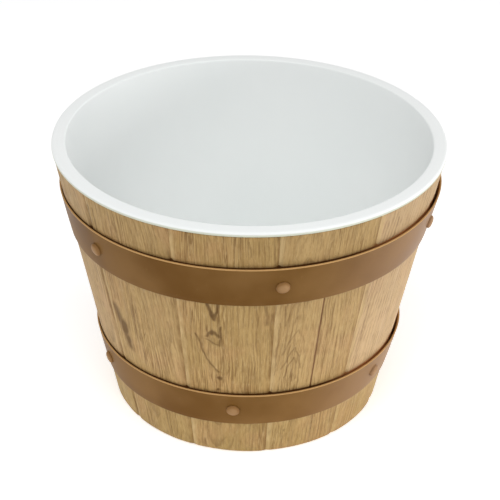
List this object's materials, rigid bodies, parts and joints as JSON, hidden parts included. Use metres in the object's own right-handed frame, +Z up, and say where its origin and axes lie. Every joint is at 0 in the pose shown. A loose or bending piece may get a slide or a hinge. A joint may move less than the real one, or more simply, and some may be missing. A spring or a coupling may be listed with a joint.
{
  "type": "florist bucket",
  "caption": "Tapered half-barrel florist bucket: light oak staves held by two riveted brown hoops, with a white drop-in liner whose flat rim covers the staves' top edge.",
  "frame": {"origin": "centre of the base, on the ground the staves stand on", "axes": "+Z up along the barrel's axis; -Y is the front, where stave_01 faces"},
  "size_m": [0.299, 0.299, 0.2205],
  "materials": {
    "stave_wood": "light oak with fine vertical grain and dark knots, matte",
    "base_wood": "plain sawn softwood boards, matte",
    "hoop_paint": "satin brown coating on a flat strip",
    "rivet_paint": "satin brown coating, rubbed a little lighter on the dome",
    "liner_plastic": "smooth white moulded plastic, satin"
  },
  "bodies": {
    "barrel": {"stave_01": "stave_wood", "stave_02": "stave_wood", "stave_03": "stave_wood", "stave_04": "stave_wood", "stave_05": "stave_wood", "stave_06": "stave_wood", "stave_07": "stave_wood", "stave_08": "stave_wood", "stave_09": "stave_wood", "stave_10": "stave_wood", "stave_11": "stave_wood", "stave_12": "stave_wood", "base_board_1": "base_wood", "base_board_2": "base_wood", "base_board_3": "base_wood", "base_board_4": "base_wood", "upper_hoop": "hoop_paint", "lower_hoop": "hoop_paint", "upper_rivets": "rivet_paint", "lower_rivets": "rivet_paint"},
    "liner": {"liner": "liner_plastic"}
  },
  "joints": [
    {"name": "liner_lift", "type": "slide", "parent": "barrel", "child": "liner", "axis": [0, 0, 1], "range_m": [0, 0.23]}
  ]
}
